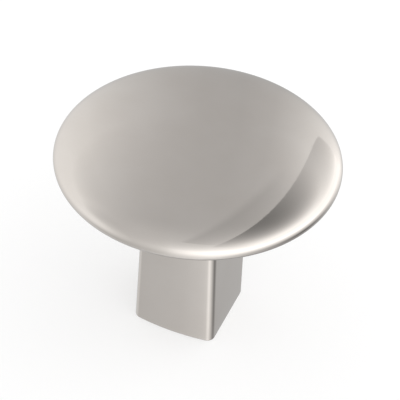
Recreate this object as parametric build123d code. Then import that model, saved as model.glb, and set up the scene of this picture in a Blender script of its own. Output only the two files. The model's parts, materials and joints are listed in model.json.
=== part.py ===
"""Cabinet knob: a shallow domed disc on a square post, die cast in one piece and plated.

The frame has its origin at the middle of the base, where the post meets the cabinet front.
+Z runs along the post, out of the cabinet, and is the knob's axis. The two crowned sides of
the post face -Y and +Y, and the two flat sides face -X and +X. All lengths are millimetres.
"""
from build123d import *
import math
import os

# Disc that the fingers pull
disc_diameter = 32.0
projection = 26.9          # cabinet front to the top of the dome
dome_rise = 3.7            # top of the dome over the widest point of the rim
rim_thickness = 2.2        # round rim, down to the flat underside
shoulder_radius = 10.0     # between the tight rim and the broad cap
shoulder_tilt = 35.0       # degrees that the face has turned down where the shoulder meets the rim

# Post, measured across its base
post_width = 10.2          # across the two flat sides
post_depth = 10.7          # across the crests of the two crowned sides
crown_rise = 0.47          # height of each crown over the corners beside it
post_draft = 1.0           # degrees that each side leans in towards the disc
corner_radius = 0.9        # rounding of the four upright edges at the base
base_edge_break = 0.25     # small bevel round the foot
root_fillet = 1.5          # hollow where the post runs into the underside

# Blind hole for an M4 machine screw, drawn at the size of its thread's crests
screw_hole_diameter = 3.3
screw_hole_depth = 12.0    # full diameter, from the base
drill_point_angle = 118.0  # degrees
hole_mouth_bevel = 0.45

disc_radius = disc_diameter / 2
rim_radius = rim_thickness / 2
rim_height = projection - dome_rise


def domed_disc():
    """Disc turned about Z. Its top is an oval of three arcs that run into each other: the cap,
    the shoulder and the rim, which turns under to the flat underside."""
    tilt = math.radians(shoulder_tilt)
    inward = shoulder_radius - rim_radius
    shoulder_out = disc_radius - rim_radius - inward * math.sin(tilt)
    shoulder_drop = dome_rise + inward * math.cos(tilt)
    # The middle of the cap's arc is on the axis, and the arc touches the shoulder's
    gap = shoulder_drop - shoulder_radius
    cap_radius = (shoulder_out**2 + shoulder_drop**2 - shoulder_radius**2) / (2 * gap)
    cap_tilt = math.degrees(math.atan2(shoulder_out, cap_radius - shoulder_drop))
    with BuildPart() as disc:
        with BuildSketch(Plane.XZ):
            with BuildLine():
                cap = JernArc((0, projection), (1, 0), cap_radius, -cap_tilt)
                shoulder = JernArc(cap @ 1, cap % 1, shoulder_radius, cap_tilt - shoulder_tilt)
                rim = JernArc(shoulder @ 1, shoulder % 1, rim_radius, shoulder_tilt - 180)
                Polyline(rim @ 1, (0, rim_height - rim_radius), cap @ 0)
            make_face()
        revolve(axis=Axis.Z)
    return disc.part


def post_section():
    """Section of the post at its base: two flat sides, two crowned sides and rounded corners."""
    half_width = post_width / 2
    crest = post_depth / 2
    corner = crest - crown_rise
    with BuildSketch() as section:
        with BuildLine():
            ThreePointArc((-half_width, -corner), (0, -crest), (half_width, -corner))
            Line((half_width, -corner), (half_width, corner))
            ThreePointArc((half_width, corner), (0, crest), (-half_width, corner))
            Line((-half_width, corner), (-half_width, -corner))
        make_face()
        fillet(section.vertices(), corner_radius)
    return section.sketch


def square_post():
    """Post from the base up to the height of the disc's widest point, drawn in by its draft."""
    post = extrude(post_section(), amount=rim_height, taper=post_draft)
    foot = post.faces().sort_by(Axis.Z)[0]
    return chamfer(foot.outer_wire().edges(), base_edge_break)


def screw_hole():
    """Space of the tapped hole: the bevelled mouth, the straight wall and the drill's point."""
    hole_radius = screw_hole_diameter / 2
    mouth_radius = hole_radius + hole_mouth_bevel
    point_length = hole_radius / math.tan(math.radians(drill_point_angle / 2))
    outline = [
        (0, 0),
        (mouth_radius, 0),
        (hole_radius, hole_mouth_bevel),
        (hole_radius, screw_hole_depth),
        (0, screw_hole_depth + point_length),
    ]
    with BuildPart() as hole:
        with BuildSketch(Plane.XZ):
            with BuildLine():
                Polyline(*outline, close=True)
            make_face()
        revolve(axis=Axis.Z)
    return hole.part


def cast_knob():
    """Disc and post as one casting, with the hollow between them and the hole drilled."""
    disc = domed_disc()
    post = square_post()
    casting = disc + post
    root = new_edges(disc, post, combined=casting)
    casting = fillet(root, root_fillet)
    return casting - screw_hole()


os.makedirs("parts", exist_ok=True)
knob = cast_knob()
knob.label = "knob"
export_step(knob, "parts/knob.step")
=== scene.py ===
"""Looks of the cabinet knob: one nickel-plated casting standing on a pale studio floor.

The knob's axis is Z and its base is on the floor at the origin, as in the frame. Lengths are in
metres, written as millimetres times MM.
"""
import json
import math

import bmesh
import bpy
from mathutils import Matrix, Vector


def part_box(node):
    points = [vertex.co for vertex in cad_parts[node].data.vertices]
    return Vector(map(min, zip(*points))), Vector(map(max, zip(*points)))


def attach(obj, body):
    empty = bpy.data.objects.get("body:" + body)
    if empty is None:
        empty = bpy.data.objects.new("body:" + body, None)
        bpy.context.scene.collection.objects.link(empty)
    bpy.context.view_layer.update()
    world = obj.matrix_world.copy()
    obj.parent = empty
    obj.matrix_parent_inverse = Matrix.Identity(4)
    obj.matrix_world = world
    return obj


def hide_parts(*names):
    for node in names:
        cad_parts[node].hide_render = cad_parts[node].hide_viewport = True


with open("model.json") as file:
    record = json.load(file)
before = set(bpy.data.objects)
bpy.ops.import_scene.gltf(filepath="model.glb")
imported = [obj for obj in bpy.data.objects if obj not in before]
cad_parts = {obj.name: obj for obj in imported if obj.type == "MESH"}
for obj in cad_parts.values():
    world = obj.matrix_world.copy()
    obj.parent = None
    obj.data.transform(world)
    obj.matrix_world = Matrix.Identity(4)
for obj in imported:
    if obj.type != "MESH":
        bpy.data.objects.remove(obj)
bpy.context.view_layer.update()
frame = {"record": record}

MM = 0.001

# Sizes that the frame gives
lowest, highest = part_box("knob")
disc_radius = min(highest.x, -lowest.x)
projection = highest.z
screw_hole = next(m for m in frame["record"]["mounts"] if m["name"] == "screw_hole")
thread_crest_radius = screw_hole["dims"]["r_mm"] * MM

# Disc
dome_rise = 3.7 * MM               # top of the dome over the widest point of the rim
rim_radius = 1.1 * MM              # where the rim turns under
rim_height = projection - dome_rise
underside = rim_height - rim_radius

# Post, measured across its base
post_width = 10.2 * MM             # across the two flat sides
post_depth = 10.7 * MM             # across the crests of the two crowned sides
crown_rise = 0.47 * MM             # height of a crown over the corners beside it
corner_radius = 0.97 * MM
flat_lean = math.radians(1.8)      # in, towards the disc
crown_lean = math.radians(1.2)     # out
foot_round = 0.25 * MM             # soft edge round the foot
root_hollow = 1.5 * MM             # hollow where the post runs into the disc

# Tapped hole for an M4 screw
hole_depth = 12.0 * MM
mouth_bevel = 0.45 * MM
drill_point_angle = math.radians(118)
thread_root_radius = 2.0 * MM
thread_pitch = 0.7 * MM
thread_crest_flat = 0.25           # in parts of the pitch
thread_root_flat = 0.125
thread_run = 10.5 * MM             # depth at which the thread has faded out

# Points along each stretch of the casting's surface, and how its stretches are joined
corner_points = 17
crown_points = 25
flat_points = 9
round_points = 9
disc_turn_points = 288
hole_turn_points = 72
dome_points = 121
rim_points = 17
thread_points = 241
merge_distance = 0.0005 * MM
level_margin = 0.01 * MM
sharp_edge = math.radians(35)      # edges that turn by more stay crisp

# Camera, fitted to the outline of the knob in the photograph
camera_azimuth = math.radians(20.61)
camera_elevation = math.radians(41.79)
camera_roll = math.radians(3.93)
camera_distance = 163.32 * MM
camera_aim = Vector((-0.35, 2.38, 14.63)) * MM
camera_lens = 127.0
camera_sensor = 36.0
camera_clip = 10 * MM
view_across = Vector((math.cos(camera_azimuth), math.sin(camera_azimuth), 0))
view_ahead = Vector((-math.sin(camera_azimuth), math.cos(camera_azimuth), 0))
straight_up = Vector((0, 0, 1))

# Plating, with its marks at their real size
nickel_tone = (0.55, 0.518, 0.487)
haze_tone = (0.532, 0.498, 0.465)
worn_tone = (0.6, 0.565, 0.54)
zinc_tone = (0.4, 0.41, 0.42)
edge_tint = 0.85                   # dims what the metal shows at a low angle
satin_roughness = 0.045, 0.065     # where it is clear, and where it is hazy
mark_roughness = 0.012             # more or less in a polishing mark
zinc_roughness = 0.38
polish_mark = 0.2 * MM             # width of a mark
polish_stretch = 0.03              # width of a mark on the post, in parts of its length
polish_depth = 0.0003 * MM
haze_patch = 7.0 * MM
grain_size = 0.4 * MM
worn_rim = 0.5 * MM                # width of the worn band under the rim, where fingers pull
worn_foot = 0.6 * MM               # and round the foot
bare_edge = 0.16 * MM, 0.1 * MM    # soft edge of the bare metal, out from the roots of the thread
bare_height = 16 * MM              # past the end of the hole

# Noise levels between which marks and satin change, haze comes in and wear shows through the grain
noise_span = 0.3, 0.7
haze_span = 0.35, 0.65
wear_span = 0.4, 0.65

# Floor and light. A wall's tones run from the left of the camera's view, -1, to its right, 1
floor_half = 2.0
floor_drop = 0.01 * MM
floor_tone = 0.95
floor_roughness = 0.9
floor_white = 0.5                  # share of plain white in the floor as it is seen
far_wall_tones = [(-1.0, 1.4), (-0.6, 1.33), (-0.4, 1.22), (-0.2, 0.94), (-0.1, 0.81), (0.0, 0.73),
                  (0.1, 0.71), (0.2, 0.79), (0.3, 0.98), (0.5, 1.4), (0.7, 2.0)]
near_wall_tones = [(-1.0, 1.42), (-0.9, 1.31), (-0.8, 1.1), (-0.65, 0.97), (-0.5, 1.03), (-0.4, 1.11),
                   (-0.3, 1.25), (-0.2, 1.5), (0.0, 1.9), (0.2, 2.15)]
wall_blend = 0.2                   # how far past the middle the near and far walls mix
far_top_tone = 0.72
near_top_tone = 0.81
far_top_start = 0.56               # how far up the walls start to turn into the top
near_top_start = 0.35
under_tone = 0.55
under_share = 0.55                 # of that tone straight down, with the walls' in the rest
brightest_tone = 2.5

# Dark flag at the right, below the level of the floor
flag_turn = math.radians(88)       # of its middle, from straight ahead to the right
flag_drop = math.radians(36)
flag_half_width = math.radians(54)
flag_top = 0.15, -0.03             # soft upper edge, in parts of the way up
flag_shade = 0.1                   # share of light left in its middle

# Board overhead at the right, whose bowed left edge shows as a crescent in the dome
board_height = 325 * MM
board_edge = 70 * MM               # where the left edge reaches furthest to the left
board_edge_middle = 450 * MM       # and how far behind the knob that is
board_edge_radius = 2570 * MM
board_edge_points = 65
board_near = -200 * MM
board_far = 800 * MM               # far end of the left edge
board_far_slant = 1.7              # of the far end, away from the knob towards the right
board_right = 700 * MM
board_tones = 0.88, 1.9            # along the left edge, and at the end of the run to the right
board_tone_run = 400 * MM
board_spot = 100 * MM, 90 * MM     # middle of the shaded spot
board_spot_radius = 330 * MM
board_shade = 0.33                 # share of light left in the middle of the spot

# Thin scrim beside the board's left edge, which dims what is over it
scrim_lift = 5 * MM                # over the board
scrim_left = 12 * MM
scrim_soft = 26 * MM               # width of its soft left edge
scrim_right = 200 * MM
scrim_near = -150 * MM
scrim_far = 340 * MM
scrim_share = 0.86                 # of the light comes through where it is thickest


def add(tree, kind, inputs=None, **settings):
    """Adds a node to a tree, and gives each input named or numbered a value or a link."""
    node = tree.nodes.new(kind)
    for name, value in settings.items():
        setattr(node, name, value)
    for key, value in (inputs or {}).items():
        if isinstance(value, bpy.types.NodeSocket):
            tree.links.new(value, node.inputs[key])
        else:
            node.inputs[key].default_value = value
    return node


def calc(tree, operation, *values):
    """Adds a Math node and returns its result."""
    return add(tree, "ShaderNodeMath", dict(enumerate(values)), operation=operation).outputs[0]


def calc_length(tree, x, y):
    """Length of the level line with these two parts."""
    squared = calc(tree, "ADD", calc(tree, "MULTIPLY", x, x), calc(tree, "MULTIPLY", y, y))
    return calc(tree, "SQRT", squared)


def blend_range(tree, value, start, end, low=0.0, high=1.0, smooth=False):
    """Runs from low to high as a value goes from start to end, and holds beyond them."""
    kind = "SMOOTHSTEP" if smooth else "LINEAR"
    inputs = {"Value": value, "From Min": start, "From Max": end, "To Min": low, "To Max": high}
    return add(tree, "ShaderNodeMapRange", inputs, interpolation_type=kind).outputs["Result"]


def arc_run(centre, radius, start, end, count):
    """Points along an arc in the XY plane."""
    angles = [start + (end - start) * i / (count - 1) for i in range(count)]
    return [(centre[0] + radius * math.cos(a), centre[1] + radius * math.sin(a)) for a in angles]


def rectangle(left, near, right, far):
    """Corners of a rectangle in the XY plane."""
    return [(left, near), (right, near), (right, far), (left, far)]


def post_outline():
    """Section of the post at its base, anticlockwise from the right-hand flat side."""
    half_width = post_width / 2
    crown_radius = (half_width**2 + crown_rise**2) / (2 * crown_rise)
    crown_centre = post_depth / 2 - crown_radius
    corner_x = half_width - corner_radius
    corner_y = crown_centre + math.sqrt((crown_radius - corner_radius)**2 - corner_x**2)
    meeting = math.atan2(corner_y - crown_centre, corner_x)
    flat = [(half_width, corner_y * (2 * i / flat_points - 1)) for i in range(1, flat_points)]
    near_corner = arc_run((corner_x, corner_y), corner_radius, 0, meeting, corner_points)
    crown = arc_run((0, crown_centre), crown_radius, meeting, math.pi - meeting, crown_points)
    far_corner = arc_run((-corner_x, corner_y), corner_radius, math.pi - meeting, math.pi, corner_points)
    half = flat + near_corner + crown[1:-1] + far_corner
    return half + [(-x, -y) for x, y in half]


def start_tree(name, sizes):
    """Starts a geometry tree with an input for an outline, for each size and for the finish."""
    tree = bpy.data.node_groups.new(name, "GeometryNodeTree")
    tree.interface.new_socket("Geometry", in_out="INPUT", socket_type="NodeSocketGeometry")
    for size in sizes:
        tree.interface.new_socket(size, in_out="INPUT", socket_type="NodeSocketFloat")
    tree.interface.new_socket("Finish", in_out="INPUT", socket_type="NodeSocketMaterial")
    tree.interface.new_socket("Geometry", in_out="OUTPUT", socket_type="NodeSocketGeometry")
    return tree


def casting_sizes():
    """Sizes that the casting's tree takes, worked out from the sizes at the top."""
    return {
        "Disc Radius": disc_radius,
        "Dome Rise": dome_rise,
        "Rim Radius": rim_radius,
        "Rim Height": rim_height,
        "Foot Round": foot_round,
        "Narrowing": math.tan(flat_lean) / (post_width / 2),
        "Deepening": math.tan(crown_lean) / (post_depth / 2),
        "Hollow Radius": root_hollow,
        "Hollow Height": underside - root_hollow,
        "Underside": underside,
        "Crest Radius": thread_crest_radius,
        "Root Radius": thread_root_radius,
        "Pitch": thread_pitch,
        "Thread Run": thread_run,
        "Mouth Bevel": mouth_bevel,
        "Hole Depth": hole_depth,
        "Hole End": hole_depth + thread_crest_radius / math.tan(drill_point_angle / 2),
    }


def casting_tree(sizes):
    """Tree of the casting: profiles run along the post's outline, the disc's rim and the hole."""
    tree = start_tree("knob_casting", sizes)
    given = tree.nodes.new("NodeGroupInput").outputs
    quarter_turn = math.pi / 2

    def point(out, up):
        return add(tree, "ShaderNodeCombineXYZ", {"X": out, "Y": up}).outputs[0]

    def bend(count, radius, start, sweep, out=0.0, up=0.0):
        inputs = {"Resolution": count, "Radius": radius, "Start Angle": start, "Sweep Angle": sweep}
        curve = add(tree, "GeometryNodeCurveArc", inputs, mode="RADIUS").outputs["Curve"]
        moved = {"Geometry": curve, "Offset": point(out, up)}
        return add(tree, "GeometryNodeSetPosition", moved).outputs[0]

    def straight(count, start, end):
        curve = add(tree, "GeometryNodeCurvePrimitiveLine", {"Start": start, "End": end}).outputs[0]
        return add(tree, "GeometryNodeResampleCurve", {"Curve": curve, "Count": count}).outputs[0]

    def ring(count, radius):
        inputs = {"Resolution": count, "Radius": radius}
        return add(tree, "GeometryNodeCurvePrimitiveCircle", inputs, mode="RADIUS").outputs[0]

    def along(path, profile):
        # A profile's second axis points down on these paths, so the profile is turned over
        turned = add(tree, "GeometryNodeTransform", {"Geometry": profile, "Scale": (1, -1, 1)}).outputs[0]
        return add(tree, "GeometryNodeCurveToMesh", {"Curve": path, "Profile Curve": turned}).outputs[0]

    def joined(*pieces):
        join = tree.nodes.new("GeometryNodeJoinGeometry")
        for piece in pieces:
            tree.links.new(piece, join.inputs[0])
        return join.outputs[0]

    def merged(pieces):
        inputs = {"Geometry": pieces, "Distance": merge_distance}
        return add(tree, "GeometryNodeMergeByDistance", inputs).outputs[0]

    def lifted(piece, height):
        offset = add(tree, "ShaderNodeCombineXYZ", {"Z": height}).outputs[0]
        return add(tree, "GeometryNodeSetPosition", {"Geometry": piece, "Offset": offset}).outputs[0]

    place = tree.nodes.new("GeometryNodeInputPosition").outputs[0]
    x, y, z = add(tree, "ShaderNodeSeparateXYZ", {0: place}).outputs

    def scaled(piece, across, deep):
        parts = {"X": calc(tree, "MULTIPLY", x, across), "Y": calc(tree, "MULTIPLY", y, deep), "Z": z}
        moved = add(tree, "ShaderNodeCombineXYZ", parts).outputs[0]
        return add(tree, "GeometryNodeSetPosition", {"Geometry": piece, "Position": moved}).outputs[0]

    # Post, from the soft edge of its foot up to the hollow under the disc
    outline = given["Geometry"]
    foot_in = calc(tree, "MULTIPLY", given["Foot Round"], -1.0)
    foot = bend(round_points, given["Foot Round"], -quarter_turn, quarter_turn,
                foot_in, given["Foot Round"])
    side = straight(round_points, point(0.0, given["Foot Round"]), point(0.0, given["Hollow Height"]))
    hollow = bend(2 * round_points, given["Hollow Radius"], math.pi, -quarter_turn,
                  given["Hollow Radius"], given["Hollow Height"])
    upright = joined(*[along(outline, profile) for profile in (foot, side, hollow)])

    # Towards the disc its flat sides lean in and its crowned sides lean out
    narrower = calc(tree, "SUBTRACT", 1.0, calc(tree, "MULTIPLY", given["Narrowing"], z))
    deeper = calc(tree, "ADD", 1.0, calc(tree, "MULTIPLY", given["Deepening"], z))
    post = scaled(upright, narrower, deeper)

    # Disc, turned about the axis: the rim from the underside to its widest point, then half an oval
    roll_radius = calc(tree, "SUBTRACT", given["Disc Radius"], given["Rim Radius"])
    rim = bend(rim_points, given["Rim Radius"], -quarter_turn, quarter_turn)
    oval = {
        "Geometry": bend(dome_points, 1.0, 0.0, quarter_turn),
        "Scale": point(given["Disc Radius"], given["Dome Rise"]),
        "Translation": point(calc(tree, "MULTIPLY", roll_radius, -1.0), 0.0),
    }
    dome = add(tree, "GeometryNodeTransform", oval).outputs[0]
    rim_path = ring(disc_turn_points, roll_radius)
    disc = lifted(joined(along(rim_path, rim), along(rim_path, dome)), given["Rim Height"])

    # Hole: its bevelled mouth and wall with the thread cut into them, and the drill's point
    hole_path = ring(hole_turn_points, given["Crest Radius"])
    mouth = straight(round_points, point(given["Mouth Bevel"], 0.0), point(0.0, given["Mouth Bevel"]))
    wall = straight(thread_points, point(0.0, given["Mouth Bevel"]), point(0.0, given["Hole Depth"]))
    inward = calc(tree, "MULTIPLY", given["Crest Radius"], -1.0)
    tip = straight(round_points, point(0.0, given["Hole Depth"]), point(inward, given["Hole End"]))
    plain_bore = joined(along(hole_path, mouth), along(hole_path, wall))
    turn = calc(tree, "DIVIDE", calc(tree, "ARCTAN2", y, x), 2 * math.pi)
    turns_down = calc(tree, "SUBTRACT", calc(tree, "DIVIDE", z, given["Pitch"]), turn)
    half_pitch = 0.5
    wave = calc(tree, "PINGPONG", turns_down, half_pitch)
    groove = blend_range(tree, wave, thread_crest_flat / 2, half_pitch - thread_root_flat / 2)
    last_turn = calc(tree, "SUBTRACT", given["Thread Run"], given["Pitch"])
    fade = blend_range(tree, z, last_turn, given["Thread Run"], 1.0, 0.0)
    full_depth = calc(tree, "SUBTRACT", given["Root Radius"], given["Crest Radius"])
    depth = calc(tree, "MULTIPLY", calc(tree, "MULTIPLY", groove, fade), full_depth)
    cut_radius = calc(tree, "ADD", given["Crest Radius"], depth)
    radius = calc_length(tree, x, y)
    stretch = calc(tree, "DIVIDE", calc(tree, "MAXIMUM", radius, cut_radius), radius)
    bore = scaled(plain_bore, stretch, stretch)
    hole = joined(bore, along(hole_path, tip))

    # The flat base and underside close the openings that the profiles leave
    walls = merged(joined(post, disc, hole))
    faces = tree.nodes.new("GeometryNodeInputMeshEdgeNeighbors").outputs[0]
    is_open = add(tree, "FunctionNodeCompare", {2: faces, 3: 1}, data_type="INT", operation="EQUAL")

    def flat_face(height):
        heights = {0: z, 1: height, "Epsilon": level_margin}
        level = add(tree, "FunctionNodeCompare", heights, operation="EQUAL")
        both = {0: is_open.outputs[0], 1: level.outputs[0]}
        edges = add(tree, "FunctionNodeBooleanMath", both, operation="AND").outputs[0]
        loops = add(tree, "GeometryNodeMeshToCurve", {"Mesh": walls, "Selection": edges}).outputs[0]
        return lifted(add(tree, "GeometryNodeFillCurve", {"Curve": loops}).outputs[0], height)

    closed = merged(joined(walls, flat_face(0.0), flat_face(given["Underside"])))
    real = add(tree, "GeometryNodeRealizeInstances", {"Geometry": closed}).outputs[0]
    finished = {"Geometry": real, "Material": given["Finish"]}
    result = add(tree, "GeometryNodeSetMaterial", finished).outputs[0]
    tree.links.new(result, tree.nodes.new("NodeGroupOutput").inputs[0])
    return tree


def outline_holder(name, points):
    """Object with a closed line through points in the base plane, for a tree to work from."""
    curve = bpy.data.curves.new(name, "CURVE")
    curve.dimensions = "3D"
    line = curve.splines.new("POLY")
    line.points.add(len(points) - 1)
    for spot, (x, y) in zip(line.points, points):
        spot.co = (x, y, 0, 1)
    line.use_cyclic_u = True
    holder = bpy.data.objects.new(name, curve)
    bpy.context.scene.collection.objects.link(holder)
    return holder


def grown(name, holder, tree, sizes, finish):
    """Plain mesh piece that a tree makes from a holder, with its faces outward. The holder goes."""
    modifier = holder.modifiers.new(tree.name, "NODES")
    modifier.node_group = tree
    for socket in tree.interface.items_tree:
        if socket.in_out == "INPUT" and socket.name in sizes:
            modifier[socket.identifier] = sizes[socket.name]
        if socket.in_out == "INPUT" and socket.name == "Finish":
            modifier[socket.identifier] = finish
    evaluated = holder.evaluated_get(bpy.context.evaluated_depsgraph_get())
    mesh = bpy.data.meshes.new_from_object(evaluated)
    mesh.name = name
    bpy.data.objects.remove(holder)
    shell = bmesh.new()
    shell.from_mesh(mesh)
    bmesh.ops.recalc_face_normals(shell, faces=shell.faces)
    shell.to_mesh(mesh)
    shell.free()
    mesh.shade_smooth()
    mesh.set_sharp_from_angle(angle=sharp_edge)
    piece = bpy.data.objects.new(name, mesh)
    bpy.context.scene.collection.objects.link(piece)
    return piece


def nickel_plate():
    """Satin nickel with faint polishing marks, hazy patches, worn edges and a bare tapped hole."""
    material = bpy.data.materials.new("nickel_plate")
    material.use_nodes = True
    tree = material.node_tree
    place = add(tree, "ShaderNodeTexCoord").outputs["Object"]
    x, y, z = add(tree, "ShaderNodeSeparateXYZ", {0: place}).outputs
    radius = calc_length(tree, x, y)

    def speckle(vector, size, detail):
        inputs = {"Vector": vector, "Scale": 1 / size, "Detail": detail}
        return add(tree, "ShaderNodeTexNoise", inputs).outputs["Fac"]

    def tinted(share, first, second):
        inputs = {0: share, 6: first, 7: second}
        return add(tree, "ShaderNodeMix", inputs, data_type="RGBA").outputs[2]

    # Marks run round the disc and along the post
    turn = calc(tree, "MULTIPLY", calc(tree, "ARCTAN2", y, x), polish_mark)
    round_disc = add(tree, "ShaderNodeCombineXYZ", {"X": radius, "Y": turn}).outputs[0]
    stretched = {0: place, 1: (1, 1, polish_stretch)}
    along_post = add(tree, "ShaderNodeVectorMath", stretched, operation="MULTIPLY").outputs[0]
    either = {0: calc(tree, "GREATER_THAN", z, underside), 4: along_post, 5: round_disc}
    run = add(tree, "ShaderNodeMix", either, data_type="VECTOR").outputs[1]
    marks = speckle(run, polish_mark, detail=4)
    haze = speckle(place, haze_patch, detail=3)
    grain = speckle(place, grain_size, detail=2)

    # Wear under the rim and round the foot, and bare metal in the hole
    outer = blend_range(tree, radius, disc_radius - 2 * worn_rim, disc_radius - worn_rim, smooth=True)
    under = blend_range(tree, z, rim_height, rim_height - worn_rim, smooth=True)
    rim_wear = calc(tree, "MULTIPLY", outer, under)
    foot_wear = blend_range(tree, z, worn_foot, 0.0, smooth=True)
    edges = calc(tree, "MAXIMUM", rim_wear, foot_wear)
    worn = calc(tree, "MULTIPLY", edges, blend_range(tree, grain, *wear_span))
    in_hole = blend_range(tree, radius, *[thread_root_radius + out for out in bare_edge])
    bare = calc(tree, "MULTIPLY", in_hole, calc(tree, "LESS_THAN", z, bare_height))

    plated = tinted(blend_range(tree, haze, *haze_span), (*nickel_tone, 1), (*haze_tone, 1))
    rubbed = tinted(worn, plated, (*worn_tone, 1))
    colour = tinted(bare, rubbed, (*zinc_tone, 1))
    satin = blend_range(tree, haze, *noise_span, *satin_roughness)
    marked = calc(tree, "ADD", satin, blend_range(tree, marks, *noise_span, -mark_roughness, mark_roughness))
    roughness = blend_range(tree, bare, 0.0, 1.0, marked, zinc_roughness)
    relief = calc(tree, "MULTIPLY", marks, polish_depth)
    normal = add(tree, "ShaderNodeBump", {"Height": relief, "Distance": 1.0}).outputs[0]
    shader = tree.nodes["Principled BSDF"]
    shader.inputs["Metallic"].default_value = 1.0
    shader.inputs["Specular Tint"].default_value = (edge_tint, edge_tint, edge_tint, 1)
    tree.links.new(colour, shader.inputs["Base Color"])
    tree.links.new(roughness, shader.inputs["Roughness"])
    tree.links.new(normal, shader.inputs["Normal"])
    return material


def build_knob():
    """Knob in one piece, in place of the frame's solid."""
    sizes = casting_sizes()
    holder = outline_holder("post_outline", post_outline())
    knob = grown("knob_casting", holder, casting_tree(sizes), sizes, nickel_plate())
    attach(knob, "root")
    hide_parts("knob")


def build_camera():
    """Camera at the photograph's angle and distance."""
    back = straight_up * math.sin(camera_elevation) - view_ahead * math.cos(camera_elevation)
    up = back.cross(view_across)
    right = view_across * math.cos(camera_roll) + up * math.sin(camera_roll)
    top = up * math.cos(camera_roll) - view_across * math.sin(camera_roll)
    data = bpy.data.cameras.new("camera")
    data.lens = camera_lens
    data.sensor_width = camera_sensor
    data.clip_start = camera_clip
    camera = bpy.data.objects.new("camera", data)
    turned = Matrix((right, top, back)).transposed().to_4x4()
    camera.matrix_world = Matrix.Translation(camera_aim + back * camera_distance) @ turned
    bpy.context.scene.collection.objects.link(camera)
    bpy.context.scene.camera = camera


def level_sheet(name, outline, height, material):
    """Flat level sheet with an outline in the XY plane, at a height."""
    mesh = bpy.data.meshes.new(name)
    mesh.from_pydata([(x, y, height) for x, y in outline], [], [range(len(outline))])
    mesh.materials.append(material)
    sheet = bpy.data.objects.new(name, mesh)
    bpy.context.scene.collection.objects.link(sheet)
    return sheet


def pale_floor():
    """Matt pale finish of the floor, with a share of plain white where it is seen."""
    material = bpy.data.materials.new("pale_floor")
    material.use_nodes = True
    tree = material.node_tree
    shader = tree.nodes["Principled BSDF"]
    shader.inputs["Base Color"].default_value = (floor_tone, floor_tone, floor_tone, 1)
    shader.inputs["Roughness"].default_value = floor_roughness
    shader.inputs["Specular IOR Level"].default_value = 0.0
    rays = add(tree, "ShaderNodeLightPath").outputs
    seen = calc(tree, "MAXIMUM", rays["Is Camera Ray"], rays["Is Glossy Ray"])
    seen = calc(tree, "MAXIMUM", seen, rays["Is Transmission Ray"])
    white = add(tree, "ShaderNodeEmission", {"Strength": 1.0}).outputs[0]
    share = calc(tree, "MULTIPLY", seen, floor_white)
    surface = add(tree, "ShaderNodeMixShader", {0: share, 1: shader.outputs[0], 2: white}).outputs[0]
    tree.links.new(surface, tree.nodes["Material Output"].inputs["Surface"])
    return material


def build_floor():
    """Plain pale floor, a hair below the knob's base. The metal shows the tent in its place, because
    a floor so close would cover the even upright bands on the post."""
    corners = rectangle(-floor_half, -floor_half, floor_half, floor_half)
    floor = level_sheet("floor", corners, -floor_drop, pale_floor())
    floor.visible_glossy = False


def tone_ramp(tree, place, tones):
    """Tone at a place between -1 and 1, as a share of the brightest tone."""
    ramp = add(tree, "ShaderNodeValToRGB", {"Fac": blend_range(tree, place, -1.0, 1.0)})
    stops = ramp.color_ramp.elements
    stops.remove(stops[1])
    shares = [(spot + 1) / 2 for spot, tone in tones]
    stops[0].position = shares[0]
    for share in shares[1:]:
        stops.new(share)
    for stop, (spot, tone) in zip(stops, tones):
        grey = tone / brightest_tone
        stop.color = (grey, grey, grey, 1)
    return ramp.outputs["Color"]


def build_light():
    """Soft tent of light: brighter walls at both sides, dimmer gaps between them, overhead and below,
    and a dark flag low at the right. The metal shows it all round."""
    world = bpy.data.worlds.new("light_tent")
    world.use_nodes = True
    bpy.context.scene.world = world
    tree = world.node_tree
    direction = add(tree, "ShaderNodeTexCoord").outputs["Generated"]

    def part_along(axis):
        inputs = {0: direction, 1: axis}
        return add(tree, "ShaderNodeVectorMath", inputs, operation="DOT_PRODUCT").outputs["Value"]

    sideways = part_along(view_across)
    upward = part_along(straight_up)
    far_share = blend_range(tree, part_along(view_ahead), -wall_blend, wall_blend, smooth=True)

    def from_near_to_far(near, far):
        return blend_range(tree, far_share, 0.0, 1.0, near, far)

    # Walls, which turn into the top and, more and more below, into the tone underneath
    walls = from_near_to_far(tone_ramp(tree, sideways, near_wall_tones),
                             tone_ramp(tree, sideways, far_wall_tones))
    top = from_near_to_far(near_top_tone / brightest_tone, far_top_tone / brightest_tone)
    top_share = blend_range(tree, upward, from_near_to_far(near_top_start, far_top_start), 1.0)
    above = blend_range(tree, top_share, 0.0, 1.0, walls, top)
    below_share = blend_range(tree, upward, 0.0, -1.0, 0.0, under_share)
    tent = blend_range(tree, below_share, 0.0, 1.0, above, under_tone / brightest_tone)

    # Flag, darkest in its middle
    flag_side = view_across * math.sin(flag_turn) + view_ahead * math.cos(flag_turn)
    flag_middle = flag_side * math.cos(flag_drop) - straight_up * math.sin(flag_drop)
    off_middle = calc(tree, "ARCCOSINE", part_along(flag_middle))
    behind_flag = blend_range(tree, off_middle, flag_half_width, 0.0)
    below_top = blend_range(tree, upward, *flag_top, smooth=True)
    dimming = calc(tree, "MULTIPLY", behind_flag, below_top)
    shade = blend_range(tree, dimming, 0.0, 1.0, 1.0, flag_shade)

    background = tree.nodes["Background"]
    tree.links.new(calc(tree, "MULTIPLY", tent, shade), background.inputs["Color"])
    background.inputs["Strength"].default_value = brightest_tone


def card_finish(name, kind):
    """Material of one shader for a card, that shader, and the place across and along the card."""
    material = bpy.data.materials.new(name)
    material.use_nodes = True
    tree = material.node_tree
    tree.nodes.clear()
    shader = add(tree, kind)
    add(tree, "ShaderNodeOutputMaterial", {"Surface": shader.outputs[0]})
    place = add(tree, "ShaderNodeTexCoord").outputs["Object"]
    parts = add(tree, "ShaderNodeSeparateXYZ", {0: place}).outputs
    return material, shader, parts["X"], parts["Y"]


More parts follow.
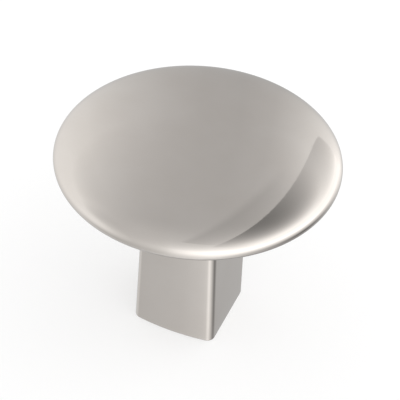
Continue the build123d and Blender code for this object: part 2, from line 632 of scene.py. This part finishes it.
def card(name, outline, height, material):
    """Level card that only the metal shows, as a photographer's flags and reflectors do."""
    sheet = level_sheet(name, outline, height, material)
    sheet.visible_camera = False
    sheet.visible_diffuse = False
    sheet.visible_shadow = False


def build_board():
    """Level board that brightens to the right, with a soft shaded spot that its edge cuts off."""
    material, shader, x, y = card_finish("board_tone", "ShaderNodeEmission")
    tree = material.node_tree
    beside = calc(tree, "SUBTRACT", x, board_spot[0])
    behind = calc(tree, "SUBTRACT", y, board_spot[1])
    off_spot = calc_length(tree, beside, behind)
    shade = blend_range(tree, off_spot, 0.0, board_spot_radius, board_shade, 1.0, smooth=True)
    plain = blend_range(tree, x, board_edge, board_edge + board_tone_run, *board_tones)
    tree.links.new(calc(tree, "MULTIPLY", plain, shade), shader.inputs["Strength"])
    edge_near = math.asin((board_near - board_edge_middle) / board_edge_radius)
    edge_far = math.asin((board_far - board_edge_middle) / board_edge_radius)
    edge_centre = (board_edge + board_edge_radius, board_edge_middle)
    edge = arc_run(edge_centre, -board_edge_radius, -edge_near, -edge_far, board_edge_points)
    far_right = (board_right, board_far + (board_right - board_edge) * board_far_slant)
    card("board", edge + [far_right, (board_right, board_near)], board_height, material)


def build_scrim():
    """Level scrim with a soft left edge, thinner towards its right and towards its far end."""
    material, shader, x, y = card_finish("scrim_tone", "ShaderNodeBsdfTransparent")
    tree = material.node_tree
    thick_from = scrim_left + scrim_soft
    soft_edge = blend_range(tree, x, scrim_left, thick_from, smooth=True)
    thinner = blend_range(tree, x, thick_from, scrim_right, 1.0, 0.0)
    far_end = blend_range(tree, y, scrim_far, scrim_far / 2, smooth=True)
    dimming = calc(tree, "MULTIPLY", calc(tree, "MULTIPLY", soft_edge, thinner), far_end)
    tree.links.new(blend_range(tree, dimming, 0.0, 1.0, 1.0, scrim_share), shader.inputs["Color"])
    outline = rectangle(scrim_left, scrim_near, scrim_right, scrim_far)
    card("scrim", outline, board_height + scrim_lift, material)


build_knob()
build_floor()
build_light()
build_board()
build_scrim()
build_camera()
bpy.context.scene.view_settings.view_transform = "Standard"
